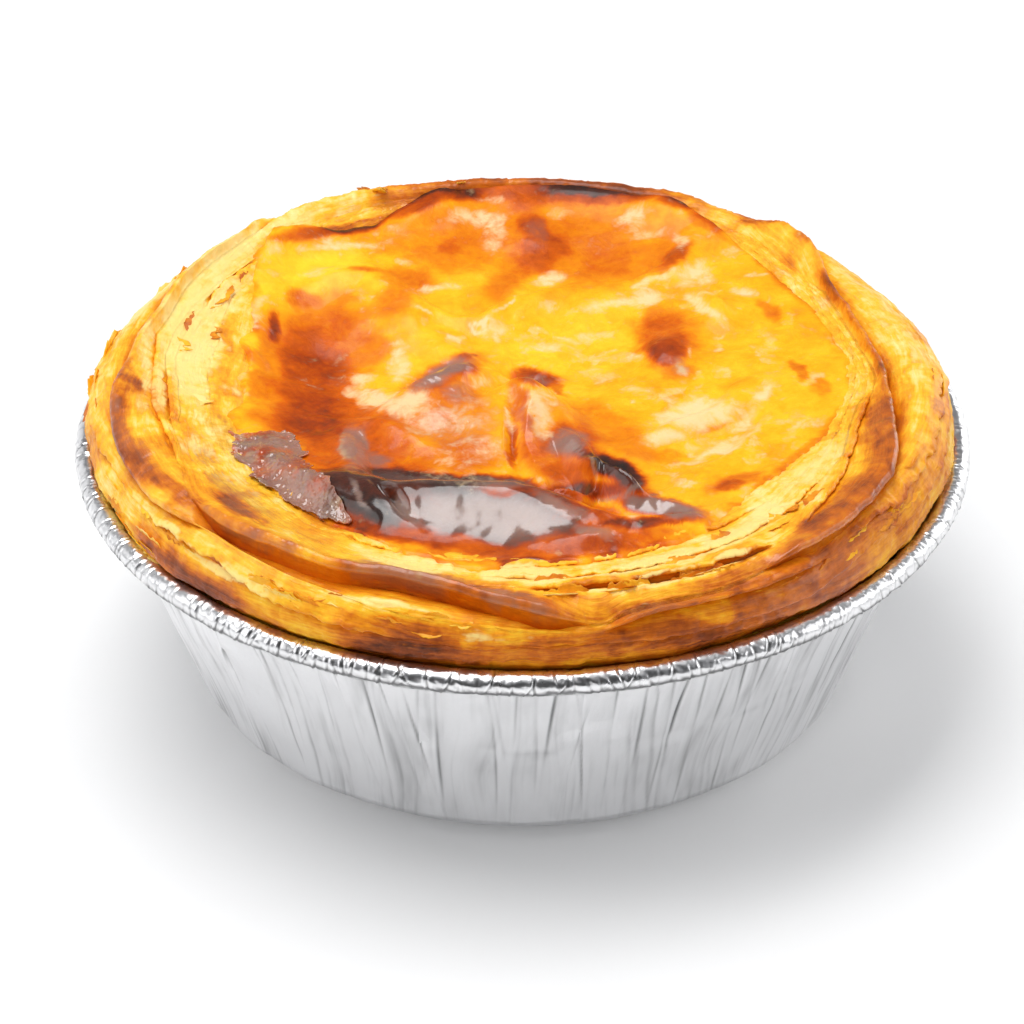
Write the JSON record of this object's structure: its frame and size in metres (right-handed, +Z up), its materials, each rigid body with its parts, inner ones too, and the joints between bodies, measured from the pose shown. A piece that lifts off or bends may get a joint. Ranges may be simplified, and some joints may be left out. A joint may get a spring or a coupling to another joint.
{
  "type": "egg tart",
  "caption": "Round egg tart of flaky layered pastry filled with browned, wrinkled custard, baked in its own flared foil cup with a rolled rim and a flat base.",
  "frame": {"origin": "centre of the foil cup's flat base, on the surface it stands on", "axes": "+Z up, -Y towards the tart's front, +X to its right seen from the front"},
  "size_m": [0.08, 0.08, 0.0315],
  "materials": {
    "foil": "thin pressed foil, finely creased, semi-bright",
    "baked_pastry": "dry baked flaky pastry, golden to brown",
    "custard": "baked egg custard with a glossy browned skin"
  },
  "bodies": {
    "root": {"foil_cup": "foil", "pastry_case": "baked_pastry", "custard": "custard"}
  },
  "joints": []
}
